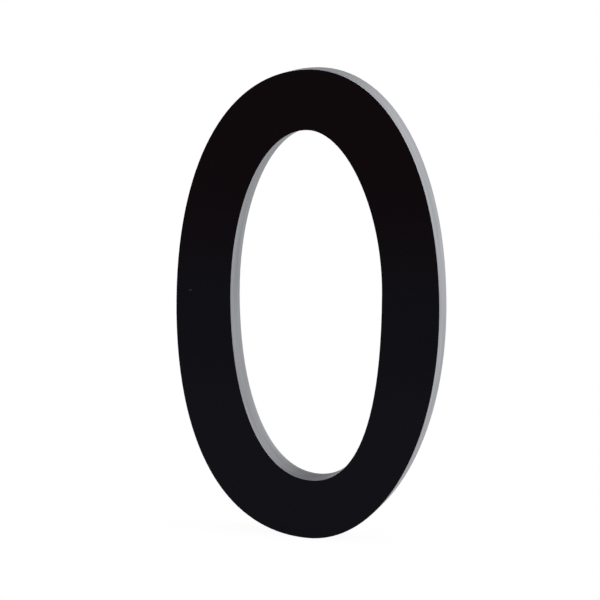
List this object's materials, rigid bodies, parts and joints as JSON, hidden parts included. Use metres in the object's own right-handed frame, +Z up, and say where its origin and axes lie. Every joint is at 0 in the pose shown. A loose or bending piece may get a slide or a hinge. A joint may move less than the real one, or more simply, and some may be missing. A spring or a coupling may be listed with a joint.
{
  "type": "house number",
  "caption": "House number zero cut from thick aluminium plate, with a matt black front, bare satin edges and blind tapped holes in the back for fixing it to a wall.",
  "frame": {"origin": "on the back face's plane, midway between the two fixing holes", "axes": "+Z up the digit as it is fixed, +X to its right seen from the front, +Y out of the back towards the wall; the black front faces -Y"},
  "size_m": [0.116, 0.012, 0.2],
  "materials": {
    "aluminium_plate": "bare satin aluminium on the cut edges and the back, with a matt black coat on the front face"
  },
  "bodies": {
    "root": {"number_zero": "aluminium_plate"}
  },
  "joints": []
}
